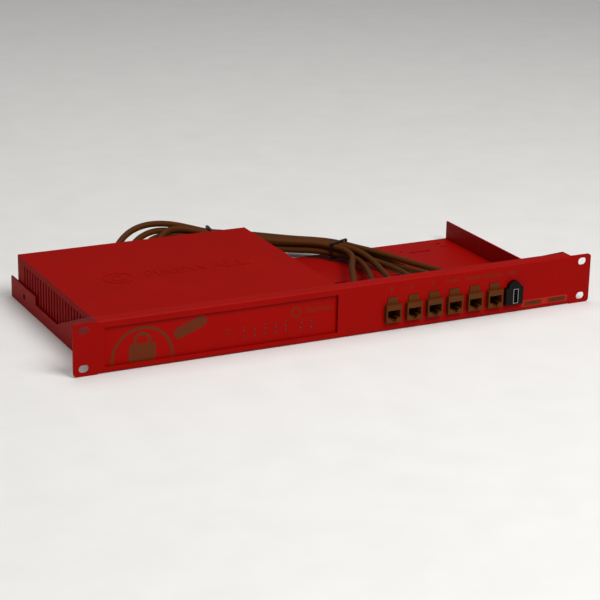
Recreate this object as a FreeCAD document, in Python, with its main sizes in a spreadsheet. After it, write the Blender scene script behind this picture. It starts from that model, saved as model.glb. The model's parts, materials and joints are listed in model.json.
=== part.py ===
# Rack-mounted desktop firewall: a fanless firewall sits in a 19 inch, one-unit sheet metal tray.
# Its front shows through a window in the tray's panel. Six patch leads run from its rear sockets
# to six couplers in the panel, beside one USB coupler.
# Millimetres, +Z up, +X to the right seen from the front, +Y towards the rear.
# The origin is the centre of the four rack slots, on the rear face of the ears.
import FreeCAD, Part
import Sketcher
import math
import os
import re

Vector = FreeCAD.Vector
Rotation = FreeCAD.Rotation
document = FreeCAD.newDocument("RackFirewall")

# ---------------------------------------------------------------- driving dimensions
SIZES = [
    # rack tray
    ("panel_width", 482.6), ("panel_height", 44.0), ("metal", 1.5), ("bend_radius", 2.0),
    ("ear_corner", 3.0), ("slot_pitch_x", 465.1), ("slot_pitch_z", 31.75),
    ("slot_length", 8.6), ("slot_height", 6.6),
    ("tray_width", 442.0), ("tray_depth", 211.0), ("wall_height", 18.7), ("flange_depth", 11.0),
    ("gusset_flat", 14.0), ("gusset_end", 76.0),
    ("cutout_start", 94.0), ("cutout_end", 147.5), ("cutout_floor", 11.0),
    ("side_hole_radius", 2.6), ("side_hole_place", 177.0), ("side_hole_lift", 9.2),
    ("window_inset", 6.0), ("window_width", 206.0), ("window_height", 33.0), ("window_lift", 5.0),
    ("access_left", 50.0), ("access_width", 98.0), ("access_start", 40.0), ("access_depth", 90.0),
    # couplers in the panel
    ("coupler_first", 42.5), ("coupler_pitch", 20.0), ("coupler_width", 14.4),
    ("coupler_height", 15.4), ("coupler_length", 34.6), ("coupler_proud", 3.6),
    ("coupler_lift", 8.0), ("coupler_gap", 0.2), ("catch_gap", 0.2),
    ("tab_width", 9.6), ("tab_height", 6.0), ("usb_place", 161.6), ("usb_width", 17.2),
    ("usb_tab_width", 13.0),
    # modular sockets and plugs
    ("jack_width", 11.9), ("jack_height", 6.8), ("jack_depth", 13.0), ("jack_lift", 4.0),
    ("room_width", 6.8), ("room_depth", 2.8), ("lip", 1.2), ("step_width", 6.6),
    ("step_depth", 1.3), ("mouth_width", 3.8), ("mouth_depth", 3.3),
    ("plug_width", 11.6), ("plug_height", 6.6), ("plug_length", 21.5), ("plug_entry", 12.5),
    ("boot_length", 11.0), ("lead_diameter", 5.8),
    ("latch_width", 6.0), ("latch_metal", 0.7), ("latch_angle", 10.0), ("lever_angle", 20.0),
    ("barrel_radius", 0.55), ("barrel_gap", 0.08), ("barrel_place", 1.6),
    # firewall case
    ("case_gap", 0.5), ("case_setback", 1.0), ("case_width", 216.0), ("case_depth", 195.3),
    ("case_height", 38.0), ("bezel_metal", 2.5), ("cover_metal", 1.1), ("chassis_metal", 1.0),
    ("fit_gap", 0.15), ("foot_height", 2.0), ("foot_radius", 6.0),
    ("vent_width", 2.8), ("vent_height", 27.0), ("vent_pitch", 6.8), ("vent_count", 25),
    ("vent_start", 10.0), ("flange_rise", 9.0),
    ("led_place", 111.3), ("led_pitch", 9.35), ("led_lift", 10.6), ("led_rise", 4.9),
    ("led_radius", 1.0),
    # electronics
    ("board_lift", 6.5), ("board_metal", 1.6), ("board_inset", 8.0), ("board_front", 12.0),
    ("board_back_gap", 1.5), ("port_pitch", 14.0), ("port_place", 43.5), ("port_depth", 18.5),
    ("port_height", 13.5), ("port_proud", 0.2), ("port_gap", 0.3),
    ("usb_rise", 15.6), ("tab_gap", 3.7),
    ("reset_place", 158.0), ("reset_radius", 1.7), ("reset_travel", 0.8),
]

sheet = document.addObject("Spreadsheet::Sheet", "Sizes")
for row, (alias, value) in enumerate(SIZES, start=1):
    sheet.set(f"A{row}", alias)
    sheet.set(f"B{row}", str(value))
    sheet.setAlias(f"B{row}", alias)
document.recompute()


def size(alias):
    """One driving dimension as a number."""
    return float(getattr(sheet, alias))


# Places that several pieces share, written as formulas of the driving dimensions.
BASE = "(-panel_height / 2)"
FLOOR = "(-panel_height / 2 + metal)"
TRAY_BACK = "(tray_depth - metal)"
COUPLER_FRONT = "(-metal - coupler_proud)"
COUPLER_BACK = f"({COUPLER_FRONT} + coupler_length)"
COUPLER_BASE = f"({BASE} + coupler_lift)"
CASE_LEFT = "(-tray_width / 2 + metal + case_gap)"
CASE_RIGHT = f"({CASE_LEFT} + case_width)"
CASE_BACK = "(case_setback + case_depth)"
CASE_BASE = f"({FLOOR} + foot_height)"
CASE_TOP = f"({CASE_BASE} + case_height)"
SHELL_FRONT = "(case_setback + bezel_metal)"
BOARD_TOP = f"({CASE_BASE} + board_lift + board_metal)"
PORT_BACK = f"({CASE_BACK} + port_proud)"
PORT_FIRST = f"({CASE_RIGHT} - port_place + 1.5)"
PORT_JACK = f"({BOARD_TOP} + 1.4)"
CONSOLE_PLACE = f"({PORT_FIRST} - 4 * port_pitch - 16)"
RESET_PLACE = f"({CASE_RIGHT} - reset_place + 3)"
RESET_LIFT = f"({BOARD_TOP} + 3.2)"

WORD = re.compile(r"[a-z][a-z_]+")


def formula(text):
    """Turn cell names in a formula into references to the sheet."""
    return WORD.sub(lambda match: "Sizes." + match.group(), str(text))


def bind(item, **properties):
    for name, text in properties.items():
        item.setExpression(name.replace("__", "."), formula(text))


def place(item, x, y, z):
    bind(item, Placement__Base__x=x, Placement__Base__y=y, Placement__Base__z=z)


# ---------------------------------------------------------------- plain solids
ALONG = {"X": Rotation(Vector(0, 1, 0), 90), "Y": Rotation(Vector(1, 0, 0), -90), "Z": Rotation()}


def box(name, x, y, z, length, width, height):
    """A block from its lowest corner, with its sizes along X, Y and Z."""
    item = document.addObject("Part::Box", name)
    bind(item, Length=length, Width=width, Height=height)
    place(item, x, y, z)
    return item


def middle_box(name, x, y, z, length, width, height):
    """A block centred on x."""
    return box(name, f"{x} - ({length}) / 2", y, z, length, width, height)


def rod(name, axis, x, y, z, radius, length):
    """A cylinder that starts at a point and runs along an axis."""
    item = document.addObject("Part::Cylinder", name)
    item.Placement = FreeCAD.Placement(Vector(), ALONG[axis])
    bind(item, Radius=radius, Height=length)
    place(item, x, y, z)
    return item


def hexagon(name, x, y, z, radius, height):
    item = document.addObject("Part::Prism", name)
    item.Polygon = 6
    bind(item, Circumradius=radius, Height=height)
    place(item, x, y, z)
    return item


def join(name, pieces):
    item = document.addObject("Part::MultiFuse", name)
    item.Shapes = pieces
    return item


def together(name, pieces):
    """Separate solids kept in one node."""
    item = document.addObject("Part::Compound", name)
    item.Links = pieces
    return item


def cut(name, base, tools):
    """Take tools from a base; tools that meet each other are joined first."""
    item = document.addObject("Part::Cut", name)
    item.Base = base
    item.Tool = tools[0] if len(tools) == 1 else join(name + "_tools", tools)
    return item


def oval(name, x, y, z, length, height, depth):
    """A slot with round ends, long along X, cut through along Y."""
    half = f"(({length}) - ({height})) / 2"
    bar = box(name + "_bar", f"{x} - {half}", y, f"{z} - ({height}) / 2", f"2 * {half}", depth, height)
    ends = [rod(f"{name}_end_{side}", "Y", f"{x} {sign} {half}", y, z, f"({height}) / 2", depth)
            for side, sign in (("left", "-"), ("right", "+"))]
    return join(name, [bar] + ends)


def outline(item, points):
    """Draw a closed outline in a sketch, each corner held by two bound distances."""
    count = len(points)
    guess = [(math.cos(2 * math.pi * i / count), math.sin(2 * math.pi * i / count)) for i in range(count)]
    for i in range(count):
        start = Vector(*guess[i], 0)
        end = Vector(*guess[(i + 1) % count], 0)
        item.addGeometry(Part.LineSegment(start, end), False)
    for i in range(count):
        item.addConstraint(Sketcher.Constraint("Coincident", i, 2, (i + 1) % count, 1))
    for i, (across, up) in enumerate(points):
        for kind, text in (("DistanceX", across), ("DistanceY", up)):
            index = item.addConstraint(Sketcher.Constraint(kind, -1, 1, i, 1, 1.0))
            item.setExpression(f"Constraints[{index}]", formula(text))
    return item


def prism(name, points, x, length):
    """A solid with an outline in Y and Z, drawn out along X."""
    drawing = document.addObject("Sketcher::SketchObject", name + "_outline")
    drawing.Placement = FreeCAD.Placement(Vector(), Rotation(Vector(1, 1, 1), 120))
    outline(drawing, points)
    place(drawing, x, 0, 0)
    item = document.addObject("Part::Extrusion", name)
    item.Base = drawing
    item.DirMode = "Custom"
    item.Dir = Vector(1, 0, 0)
    item.Solid = True
    bind(item, LengthFwd=length)
    return item


def body_sketch(body, role, name):
    drawing = body.newObject("Sketcher::SketchObject", name)
    origin_plane = next(item for item in body.Origin.OriginFeatures if item.Role == role)
    drawing.AttachmentSupport = [(origin_plane, "")]
    drawing.MapMode = "FlatFace"
    return drawing


def rectangle(left, low, width, height):
    return [(left, low), (f"{left} + {width}", low),
            (f"{left} + {width}", f"{low} + {height}"), (left, f"{low} + {height}")]


# ---------------------------------------------------------------- rack tray
def bend_round(name, z, up):
    """What rounding a fold takes off the panel's long edge, between the ears."""
    side = 1 if up else -1
    low = z if not up else f"{z} - bend_radius"
    bar = box(name + "_bar", "-tray_width / 2", "-metal", low, "tray_width", "bend_radius", "bend_radius")
    centre = f"{z} - {side} * bend_radius"
    round_bar = rod(name + "_round", "X", "-tray_width / 2", "-metal + bend_radius", centre,
                    "bend_radius", "tray_width")
    return cut(name, bar, [round_bar])


def tray_wall(name, x):
    """A side wall that tapers up to the panel's full height at the front."""
    profile = [("-metal", BASE), (TRAY_BACK, BASE), (TRAY_BACK, f"{BASE} + wall_height"),
               ("gusset_end - metal", f"{BASE} + wall_height"),
               ("gusset_flat - metal", f"{BASE} + panel_height"), ("-metal", f"{BASE} + panel_height")]
    return prism(name, profile, x, "metal")


ARCH_LIFT = f"({COUPLER_BASE} + coupler_height + tab_height - usb_tab_width / 2)"


def coupler_opening(name, x, width):
    body = middle_box(name + "_body", x, "-metal - 1", f"{COUPLER_BASE} - coupler_gap",
                      f"({width} + 2 * coupler_gap)", "metal + 2", "coupler_height + 2 * coupler_gap")
    if width == "usb_width":
        tab = rod(name + "_arch", "Y", x, "-metal - 1", ARCH_LIFT, "usb_tab_width / 2 + coupler_gap",
                  "metal + 2")
    else:
        tab = middle_box(name + "_tab", x, "-metal - 1", f"{COUPLER_BASE} + coupler_height",
                         "(tab_width + 2 * coupler_gap)", "metal + 2", "tab_height + coupler_gap")
    return [body, tab]


def rack_tray():
    panel = box("tray_panel", "-panel_width / 2", "-metal", BASE, "panel_width", "metal", "panel_height")
    document.recompute()
    corners = document.addObject("Part::Fillet", "tray_panel_corners")
    corners.Base = panel
    radius = size("ear_corner")
    corners.Edges = [(i, radius, radius) for i, edge in enumerate(panel.Shape.Edges, start=1)
                     if abs(edge.tangentAt(edge.FirstParameter).y) > 0.9]
    floor = box("tray_floor", "-tray_width / 2", "-metal", BASE, "tray_width", "tray_depth", "metal")
    flange = box("tray_flange", "-tray_width / 2", "-metal", "panel_height / 2 - metal",
                 "tray_width", "flange_depth", "metal")
    left = tray_wall("tray_left_wall", "-tray_width / 2")
    right = tray_wall("tray_right_wall", "tray_width / 2 - metal")
    folded = join("tray_folded", [corners, floor, flange, left, right])

    tools = [bend_round("tray_lower_bend", BASE, False),
             bend_round("tray_upper_bend", "panel_height / 2", True),
             box("tray_window", "-tray_width / 2 + window_inset", "-metal - 1", f"{BASE} + window_lift",
                 "window_width", "metal + 2", "window_height"),
             box("tray_access", "access_left", "access_start - metal", f"{BASE} - 1",
                 "access_width", "access_depth", "metal + 2")]
    slope = [("cutout_start - metal", f"{BASE} + cutout_floor"),
             ("cutout_end - metal", f"{BASE} + cutout_floor"),
             ("cutout_end - metal", f"{BASE} + wall_height + 1"),
             ("gusset_end - metal - 1", f"{BASE} + wall_height + 1")]
    tools.append(prism("tray_cutout", slope, "-tray_width / 2 - 1", "metal + 2"))
    tools.append(rod("tray_side_hole", "X", "-tray_width / 2 - 1", "side_hole_place - metal",
                     f"{BASE} + side_hole_lift", "side_hole_radius", "metal + 2"))
    for i in (-1, 1):
        for k in (-1, 1):
            tools.append(oval(f"tray_ear_slot_{i + 1}_{k + 1}", f"{i} * slot_pitch_x / 2", "-metal - 1",
                              f"{k} * slot_pitch_z / 2", "slot_length", "slot_height", "metal + 2"))
    for i in range(6):
        tools += coupler_opening(f"tray_opening_{i + 1}", f"(coupler_first + {i} * coupler_pitch)",
                                 "coupler_width")
    tools += coupler_opening("tray_opening_usb", "usb_place", "usb_width")
    floor_hole = f"{BASE} - 1"
    tools += [box("tray_tie_slot", 162.5, "tray_depth - 32", floor_hole, 22, 3.2, "metal + 2"),
              box("tray_small_slot", 199, "tray_depth - 16", floor_hole, 6, 2.4, "metal + 2"),
              box("tray_small_slot_2", 200, "tray_depth - 25", floor_hole, 6, 2.4, "metal + 2"),
              rod("tray_pin_hole", "Z", 156.8, "tray_depth - 24.5", floor_hole, 1.4, "metal + 2"),
              rod("tray_pin_hole_2", "Z", 153, "tray_depth - 58", floor_hole, 2.2, "metal + 2")]
    for side, x in BRACKET_SCREWS:
        tools.append(rod(f"tray_bracket_hole_{side}", "Z", x, BRACKET_SCREW_PLACE, floor_hole, 1.6,
                         "metal + 2"))
    cut("rack_tray", folded, tools)


# ---------------------------------------------------------------- brackets that stop the case
BRACKET_WIDTH = 16
BRACKET_METAL = 1.2
BRACKET_REACH = 11.5
BRACKET_FRONT = f"({CASE_BACK} + 0.1)"
BRACKET_SCREW_PLACE = f"({BRACKET_FRONT} + 7)"
BRACKET_SCREWS = [("left", f"({CASE_LEFT} + {BRACKET_WIDTH / 2})"),
                  ("right", f"({CASE_RIGHT} - {BRACKET_WIDTH / 2} - 3)")]


def stop_brackets():
    for side, x in BRACKET_SCREWS:
        name = f"{side}_stop_bracket"
        foot = middle_box(name + "_foot", x, BRACKET_FRONT, FLOOR, BRACKET_WIDTH, BRACKET_REACH,
                          BRACKET_METAL)
        upright = middle_box(name + "_upright", x, BRACKET_FRONT, FLOOR, BRACKET_WIDTH, BRACKET_METAL, 16)
        hole = rod(name + "_hole", "Z", x, BRACKET_SCREW_PLACE, f"{FLOOR} - 1", 1.6, BRACKET_METAL + 2)
        cut(name, join(name + "_folded", [foot, upright]), [hole])
    screws = []
    for side, x in BRACKET_SCREWS:
        head = rod(f"bracket_screw_head_{side}", "Z", x, BRACKET_SCREW_PLACE,
                   f"{FLOOR} + {BRACKET_METAL}", 2.8, 1.8)
        shank = rod(f"bracket_screw_shank_{side}", "Z", x, BRACKET_SCREW_PLACE, f"{BASE} + 0.1", 1.5,
                    f"metal - 0.1 + {BRACKET_METAL}")
        screws.append(join(f"bracket_screw_{side}", [head, shank]))
    together("bracket_screws", screws)


# ---------------------------------------------------------------- sockets, plugs and latches
def jack_hollow(name, x, mouth, base, opens_back, latch_up):
    """What a modular socket takes out of its block: the plug's way, the latch's room and the lip.

    base is the lower face of the plug's way, mouth the block's face that the socket opens on."""
    way_start = f"{mouth} - jack_depth" if opens_back else f"{mouth} - 1"
    inner = f"{mouth} - jack_depth + 0.3" if opens_back else f"{mouth} + lip"
    lip_start = f"{mouth} - lip" if opens_back else f"{mouth} - 1"

    def below(depth):
        return f"{base} + jack_height - 0.1" if latch_up else f"{base} - ({depth})"

    def part(kind, start, width, run, z, height):
        return middle_box(f"{name}_{kind}", x, start, z, width, run, height)

    return [part("way", way_start, "jack_width", "jack_depth + 1", base, "jack_height"),
            part("room", inner, "room_width", "jack_depth - lip - 0.3", below("room_depth"),
                 "room_depth + 0.1"),
            part("step", lip_start, "step_width", "lip + 1", below("step_depth"), "step_depth + 0.1"),
            part("mouth", lip_start, "mouth_width", "lip + 1", below("mouth_depth"),
                 "mouth_depth + 0.1")]


def plug(name, x, nose, centre, latch_up):
    """A clear modular plug: body, open slot for the blades, and a groove for the latch's root."""
    body = middle_box(name + "_body", x, nose, f"{centre} - plug_height / 2", "plug_width",
                      "plug_length", "plug_height")
    side = 1 if latch_up else -1
    slot_base = f"{centre} - plug_height / 2 - 1" if latch_up else f"{centre} + plug_height / 2 - 1"
    slot = middle_box(name + "_slot", x, f"{nose} - 1", slot_base, 8.4, 7, 2)
    groove = rod(name + "_groove", "X", f"{x} - latch_width / 2 - 0.2", f"{nose} + barrel_place",
                 f"{centre} + {side} * plug_height / 2", "barrel_radius + barrel_gap", "latch_width + 0.4")
    return cut(name, body, [slot, groove])


def blades(name, x, nose, centre, latch_up):
    """Eight gold blades that stand in a plug's slot."""
    base = f"{centre} - plug_height / 2 + 0.1" if latch_up else f"{centre} + plug_height / 2 - 1"
    return [box(f"{name}_{i + 1}", f"{x} + {(i - 3.5) * 1.02 - 0.15:.2f}", f"{nose} + 0.4", base,
                0.3, 5.2, 0.9) for i in range(8)]


def latch(name, x, nose, centre, latch_up):
    """A plug's sprung latch: root barrel, wide catch and narrow lever."""
    side = 1 if latch_up else -1
    root = Vector(0, size("barrel_place"), side * size("plug_height") / 2)
    barrel = rod(name + "_root", "X", f"{x} - latch_width / 2", f"{nose} + barrel_place",
                 f"{centre} + {side} * plug_height / 2", "barrel_radius", "latch_width")
    catch_run = 9.4
    angle = math.radians(size("latch_angle"))
    catch_end = root + Vector(0, math.cos(angle), side * math.sin(angle)) * (catch_run - 0.25)
    pieces = [barrel]
    for part, width, run, start, degrees in (("catch", "latch_width", catch_run, root, "latch_angle"),
                                             ("lever", "3.2", 6.0, catch_end, "lever_angle")):
        tilt = Rotation(Vector(1, 0, 0), side * size(degrees))
        lower = tilt.multVec(Vector(0, 0, 0 if latch_up else -size("latch_metal")))
        plate = document.addObject("Part::Box", f"{name}_{part}")
        plate.Placement = FreeCAD.Placement(Vector(), tilt)
        bind(plate, Length=width, Width=run, Height="latch_metal")
        place(plate, f"{x} - {width} / 2", f"{nose} + {start.y + lower.y:.4f}",
              f"{centre} + {start.z + lower.z:.4f}")
        pieces.append(plate)
    return join(name, pieces)


def boot(name, x, start, centre):
    """A sleeve that narrows from the plug to the lead."""
    item = document.addObject("Part::Wedge", name)
    bind(item, Xmin="-plug_width / 2 + 0.2", Xmax="plug_width / 2 - 0.2", Ymin=0, Ymax="boot_length",
         Zmin="-plug_height / 2 + 0.1", Zmax="plug_height / 2 - 0.1",
         X2min="-lead_diameter / 2 - 0.8", X2max="lead_diameter / 2 + 0.8",
         Z2min="-lead_diameter / 2 - 0.2", Z2max="lead_diameter / 2 + 0.2")
    place(item, x, start, centre)
    return item


FRONT_PLUGS = [(f"(coupler_first + {i} * coupler_pitch)", f"({COUPLER_BACK} - plug_entry)",
                f"({COUPLER_BASE} + jack_lift + jack_height / 2)") for i in range(6)]
PORT_CENTRES = [f"({PORT_FIRST} - {i} * port_pitch)" for i in range(5)] + [CONSOLE_PLACE]
REAR_PLUGS = [(x, f"({PORT_BACK} - plug_entry)", f"({PORT_JACK} + jack_height / 2)") for x in PORT_CENTRES]


def plugs():
    all_blades = []
    for end, seats, latch_up in (("front", FRONT_PLUGS, False), ("rear", REAR_PLUGS, True)):
        bodies = []
        boots = []
        for i, (x, nose, centre) in enumerate(seats, start=1):
            bodies.append(plug(f"{end}_plug_{i}", x, nose, centre, latch_up))
            boots.append(boot(f"{end}_boot_{i}", x, f"{nose} + plug_length", centre))
            all_blades += blades(f"{end}_blade_{i}", x, nose, centre, latch_up)
            latch(f"{end}_latch_{i}", x, nose, centre, latch_up)
        together(f"{end}_plugs", bodies)
        together(f"{end}_boots", boots)
    together("plug_blades", all_blades)


# ---------------------------------------------------------------- couplers in the panel
def coupler_shell(name, x, width, tab_width, hollows):
    """A snap-in coupler: square body, upper tab held by the panel, and a lower hook."""
    body = middle_box(name + "_body", x, COUPLER_FRONT, COUPLER_BASE, width, "coupler_length",
                      "coupler_height")
    top = f"{COUPLER_BASE} + coupler_height - 0.5"
    if width == "usb_width":
        tab = rod(name + "_arch", "Y", x, COUPLER_FRONT, ARCH_LIFT, "usb_tab_width / 2",
                  "metal + coupler_proud")
        stem_rise = 1.9
    else:
        tab = middle_box(name + "_tab", x, "-metal - 0.6", top, tab_width, "metal + 0.6",
                         "tab_height + 0.5")
        stem_rise = "tab_height + 0.5"
    stem = middle_box(name + "_stem", x, "-0.5", top, tab_width, "catch_gap + 3.5", stem_rise)
    catch = middle_box(name + "_catch", x, "catch_gap", top, tab_width, 2.8, "tab_height + 2.1")
    hook = middle_box(name + "_hook", x, "catch_gap", f"{COUPLER_BASE} - 1.4", 8, 2.4, 1.9)
    return cut(name, join(name + "_shape", [body, stem, catch, hook, tab]), hollows)


def network_couplers():
    contacts = []
    jack_base = f"({COUPLER_BASE} + jack_lift)"
    for i in range(6):
        x = f"(coupler_first + {i} * coupler_pitch)"
        name = f"coupler_housing_{i + 1}"
        hollows = (jack_hollow(name + "_front", x, COUPLER_FRONT, jack_base, False, False)
                   + jack_hollow(name + "_rear", x, COUPLER_BACK, jack_base, True, False))
        coupler_shell(name, x, "coupler_width", "tab_width", hollows)
        for k in range(8):
            contacts.append(box(f"coupler_contact_{i + 1}_{k + 1}", f"{x} + {(k - 3.5) * 1.02 - 0.2:.2f}",
                                f"{COUPLER_FRONT} + jack_depth - 9", f"{jack_base} + jack_height - 1.6",
                                0.4, 9, 0.4))
    together("coupler_contacts", contacts)


def usb_coupler():
    """Upright USB sockets on both faces, each with a metal shell and a tongue."""
    wide, tall, deep, wall, gap = 5.0, 13.0, 14.0, 0.4, 0.1
    low = f"({COUPLER_BASE} + coupler_height / 2 - {tall / 2})"
    starts = {"front": f"({COUPLER_FRONT})", "rear": f"({COUPLER_BACK} - {deep})"}
    socket = "(usb_place + 1.2)"
    hollows = []
    shells = []
    tongues = []
    for side, start in starts.items():
        open_start = f"{start} - 1" if side == "front" else start
        hollows.append(middle_box(f"usb_hollow_{side}", socket, open_start, f"{low} - {gap}",
                                  wide + 2 * gap, deep + 1, tall + 2 * gap))
        outer = middle_box(f"usb_shell_outer_{side}", socket, start, low, wide, deep, tall)
        inner = middle_box(f"usb_shell_inner_{side}", socket, f"{start} - 1", f"{low} + {wall}",
                           wide - 2 * wall, deep + 2, tall - 2 * wall)
        shells.append(cut(f"usb_shell_{side}", outer, [inner]))
        tongue_start = f"{start} + 3" if side == "front" else start
        tongues.append(box(f"usb_tongue_{side}", f"{socket} + 0.1", tongue_start, f"{low} + 1", 1.8,
                           deep - 3, tall - 2))
    coupler_shell("usb_coupler_housing", "usb_place", "usb_width", "usb_tab_width", hollows)
    together("usb_coupler_shells", shells)
    together("usb_coupler_tongues", tongues)


# ---------------------------------------------------------------- patch leads and ties
# Each route starts at a rear boot and ends at a front boot: straight out of the boot, up and over
# to the right in one of three lanes, two leads high, then down across the tray and fanned out.
LEAD_ROUTES = [
    [(-45, 216.5, -5.6), (-45, 229.3, -5.6), (-39.9, 240.9, -3.5), (-30.5, 249.1, -1.6),
     (-18.7, 253.3, -1.6), (-6.5, 252.5, -3.4), (3.4, 248.6, -3.7), (20.3, 237.3, -6.3), (50.5, 216, -6.8),
     (74, 200.9, -6.1), (85.8, 187.6, -7.6), (90.6, 175.7, -7.2), (89.6, 156.9, -8.2), (74, 131, -9),
     (60.5, 101.6, -8.6), (48.5, 78, -7.2), (42.5, 63, -6.6), (42.5, 49.5, -6.6)],
    [(-59, 216.5, -5.6), (-59, 228.7, -5.6), (-54.3, 240.2, -5.3), (-45.3, 249.2, -4.7),
     (-33.6, 253.9, -5.3), (-20, 254.8, -8.2), (-8.4, 252.7, -10.3), (4.2, 247.8, -12.5),
     (21.2, 237.1, -13.4), (50.7, 215.9, -14), (74.3, 200.2, -13.1), (85.9, 187.6, -14.1),
     (93.7, 173.5, -13.3), (96.2, 159.9, -13), (91.1, 136.1, -12.1), (79.5, 105, -10.2), (68.5, 80, -8.1),
     (62.5, 63.5, -6.6), (62.5, 49.5, -6.6)],
    [(-73, 216.5, -5.6), (-73, 232.3, -5.6), (-67.5, 246.3, -0.5), (-57.4, 255.3, 4.8),
     (-43.7, 260.8, 5.7), (-21.6, 260.7, 0.2), (-5.9, 258.9, -4.4), (7.3, 254, -6.3), (24.2, 242.4, -5.9),
     (54.8, 221.6, -7.1), (79.7, 204.8, -6.3), (91.7, 190, -7.5), (97.4, 176.7, -7.1),
     (101.5, 160.2, -7.8), (99.9, 136.9, -8.8), (93, 105, -8.8), (86, 79.9, -7.5), (82.5, 64, -6.6),
     (82.5, 49.5, -6.6)],
    [(-87, 216.5, -5.6), (-87, 231, -5.6), (-81.4, 244.4, -3.4), (-71.2, 254.6, -0.8), (-57.8, 260.2, 0.1),
     (-39.9, 261.5, -1.4), (-21.3, 261, -7.5), (-6.2, 259.4, -10.6), (7.5, 253.6, -13.3),
     (24.7, 242.6, -14.1), (55, 222.4, -13.7), (79.6, 204, -13.9), (91.6, 190.5, -13.9),
     (100.2, 175.3, -13.5), (107, 157.5, -13.4), (112, 134, -12.4), (112, 107, -10.6), (107, 81.9, -8.3),
     (102.5, 64.5, -6.6), (102.5, 49.5, -6.6)],
    [(-101, 216.5, -5.6), (-101, 230.4, -5.6), (-96.6, 243.5, -4.6), (-88, 253.8, -1.4),
     (-75.8, 261.3, 2.4), (-61, 266.1, 4), (-43, 267.7, 0.9), (-25, 267.6, -5.6), (-7.8, 266.5, -10.2),
     (8.4, 260.4, -11.9), (27.9, 248.4, -13), (59.1, 227.4, -13.4), (84.3, 208.5, -13.8), (97.5, 193, -14),
     (105.3, 179.3, -13.4), (114.4, 161.5, -13.5), (122.1, 137.3, -14.1), (126.4, 111.9, -13.2),
     (126.5, 86, -8.2), (122.5, 65, -6.6), (122.5, 49.5, -6.6)],
    [(-117, 216.5, -5.6), (-117, 229.4, -5.6), (-112.6, 241.5, -4.2), (-104.5, 251, 0.4),
     (-94, 257.8, 6.4), (-80.4, 262.8, 10.3), (-64.2, 266.1, 10.9), (-45.5, 268, 7.9), (-27.3, 267.5, 2.4),
     (-9.3, 266, -3.5), (8.5, 261.3, -5.2), (27.6, 248.1, -5.2), (59.2, 227.7, -7.2), (85.1, 208.5, -6.7),
     (97.5, 192.8, -7.1), (104.2, 178.3, -7.3), (113.2, 156.4, -6.7), (125.2, 128.2, -7.7),
     (135.7, 99, -7.8), (141.5, 80, -7.2), (142.5, 63, -6.6), (142.5, 49.5, -6.6)],
]


def tube(points, diameter):
    """A tube along straight runs joined by tangent arcs, with the least arc radius and the length."""
    corners = [Vector(*point) for point in points]
    edges = []
    start = corners[0]
    least = math.inf
    for before, corner, after in zip(corners, corners[1:], corners[2:]):
        arriving = corner - before
        leaving = after - corner
        half_turn = arriving.getAngle(leaving) / 2
        reach = 0.45 * min(arriving.Length, leaving.Length)
        radius = reach / math.tan(half_turn)
        arriving.normalize()
        leaving.normalize()
        inward = leaving - arriving
        inward.normalize()
        centre = corner + inward * (radius / math.cos(half_turn))
        first = corner - arriving * reach
        last = corner + leaving * reach
        edges.append(Part.LineSegment(start, first).toShape())
        edges.append(Part.Arc(first, centre - inward * radius, last).toShape())
        start = last
        least = min(least, radius)
    edges.append(Part.LineSegment(start, corners[-1]).toShape())
    path = Part.Wire(edges)
    ring = Part.makeCircle(diameter / 2, corners[0], corners[1] - corners[0])
    return path.makePipeShell([Part.Wire(ring)], True, False), least, path.Length


def patch_leads():
    diameter = size("lead_diameter")
    for i, points in enumerate(LEAD_ROUTES, start=1):
        lead = document.addObject("Part::Feature", f"patch_lead_{i}")
        lead.Shape, least, length = tube(points, diameter)
        section = math.pi * diameter ** 2 / 4
        print(f"patch_lead_{i}: least radius {least:.1f}, length {length:.1f}, "
              f"volume over section times length {lead.Shape.Volume / (section * length):.4f}")


def cable_tie(name, centre, heading, wide, tall):
    """A band round the bundle, square to its heading, with its head on the far side and its tail down."""
    band, thick = 2.6, 1.1
    far = wide / 2 + thick
    turn = Rotation(Vector(0, 0, 1), heading)
    blocks = {"outer": (-band / 2, -wide / 2 - thick, -tall / 2 - thick, band, wide + 2 * thick,
                        tall + 2 * thick),
              "inner": (-band, -wide / 2, -tall / 2, 2 * band, wide, tall),
              "head": (-2.3, far - 0.2, -2.5, 4.6, 2.8, 5),
              "tail": (-0.9, far + 0.7, -8, 1.8, 1, 7)}
    made = {}
    for part, (x, y, z, length, width, height) in blocks.items():
        item = document.addObject("Part::Box", f"{name}_{part}")
        item.Length, item.Width, item.Height = length, width, height
        item.Placement = FreeCAD.Placement(Vector(*centre) + turn.multVec(Vector(x, y, z)), turn)
        made[part] = item
    solid = join(name + "_solid", [made["outer"], made["head"], made["tail"]])
    return cut(name, solid, [made["inner"]])


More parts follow.
